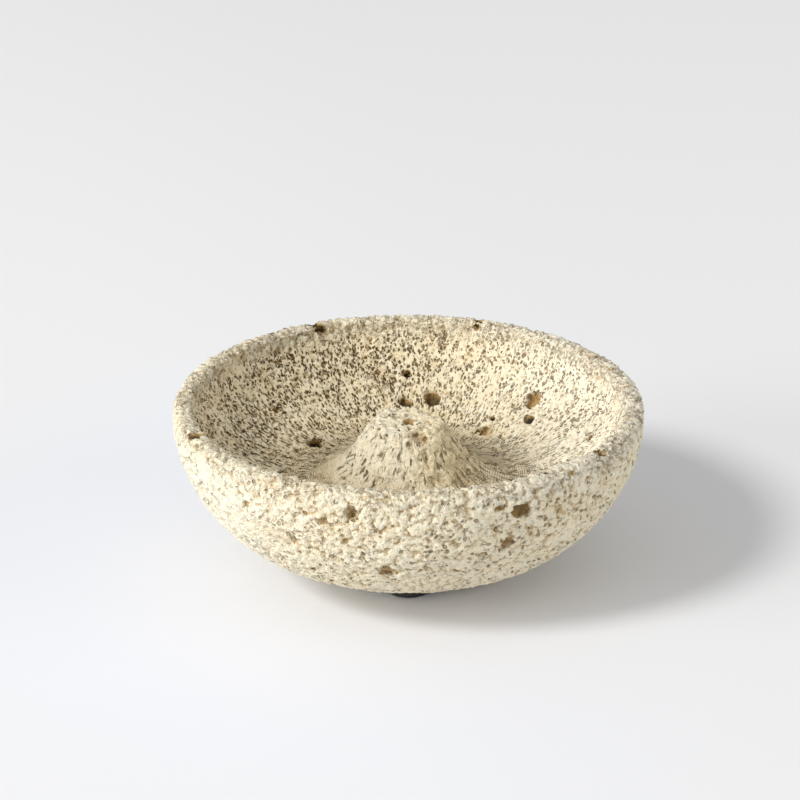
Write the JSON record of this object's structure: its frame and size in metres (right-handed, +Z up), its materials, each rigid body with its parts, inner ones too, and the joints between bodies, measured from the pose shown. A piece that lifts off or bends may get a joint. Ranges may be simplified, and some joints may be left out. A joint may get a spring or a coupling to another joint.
{
  "type": "incense stick holder",
  "caption": "Round porous stone bowl with a blunt cone in its middle, drilled to hold an incense stick upright while the dish catches the ash; stands on rubber pads.",
  "frame": {"origin": "on the table, under the bowl's axis", "axes": "+Z up along the bowl's axis and the stick hole, -Y towards the viewer of the picture, with one pad on that side"},
  "size_m": [0.12, 0.12, 0.046],
  "materials": {
    "porous_stone": "raw, matt, pitted, pale cream",
    "pad_rubber": "matt black",
    "pad_adhesive": "dull dark grey double-sided adhesive"
  },
  "bodies": {
    "root": {"stone_bowl": "porous_stone", "foot_pad_front": "pad_rubber", "foot_pad_right": "pad_rubber", "foot_pad_left": "pad_rubber", "pad_adhesive_front": "pad_adhesive", "pad_adhesive_right": "pad_adhesive", "pad_adhesive_left": "pad_adhesive"}
  },
  "joints": []
}
